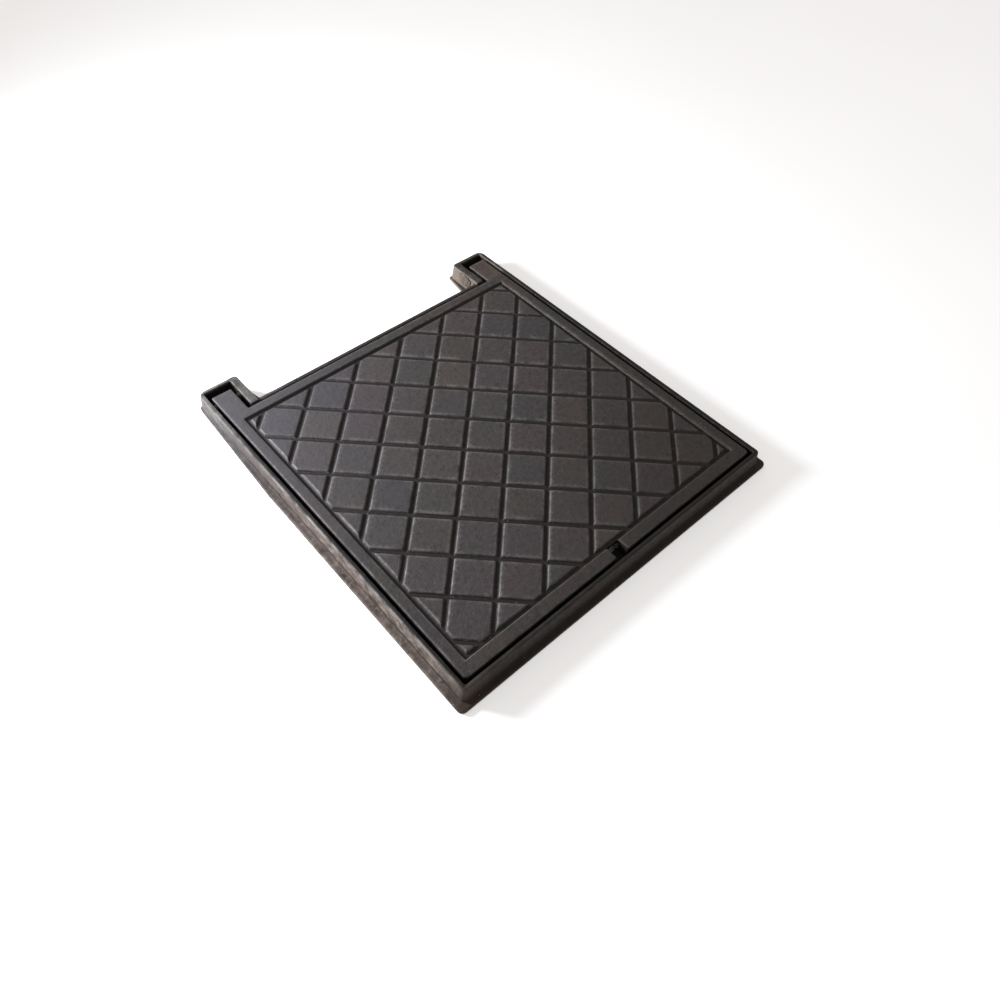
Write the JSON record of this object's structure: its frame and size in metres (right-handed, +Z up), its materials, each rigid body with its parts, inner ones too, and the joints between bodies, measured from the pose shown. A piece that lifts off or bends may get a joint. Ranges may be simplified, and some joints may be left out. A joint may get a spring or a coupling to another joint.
{
  "type": "hinged manhole cover",
  "caption": "Square cast-iron access cover with a diagonal studded tread, hinged by rear tongues in the corner ears of its bedded frame, with a front lifting slot.",
  "frame": {"origin": "middle of the footprint, ears included, on the frame's bedding face", "axes": "+X to the right when facing the hinge side, +Y towards the hinge ears, +Z up; the cover is the same on both sides of X = 0"},
  "size_m": [0.419, 0.4566, 0.0225],
  "materials": {
    "frame_iron": "sand-cast, weathered, with dried earth in the corners",
    "lid_iron": "sand-cast, bituminous black worn to grey on the studs",
    "pin_steel": "plain round bar, dull and dirty"
  },
  "bodies": {
    "frame": {"frame": "frame_iron", "hinge_pin_left": "pin_steel", "hinge_pin_right": "pin_steel"},
    "lid": {"lid": "lid_iron"}
  },
  "joints": [
    {"name": "lid_hinge", "type": "hinge", "parent": "frame", "child": "lid", "pos_m": [0, 0.2003, 0.0145], "axis": [-1, 0, 0], "range_deg": [0, 105]}
  ]
}
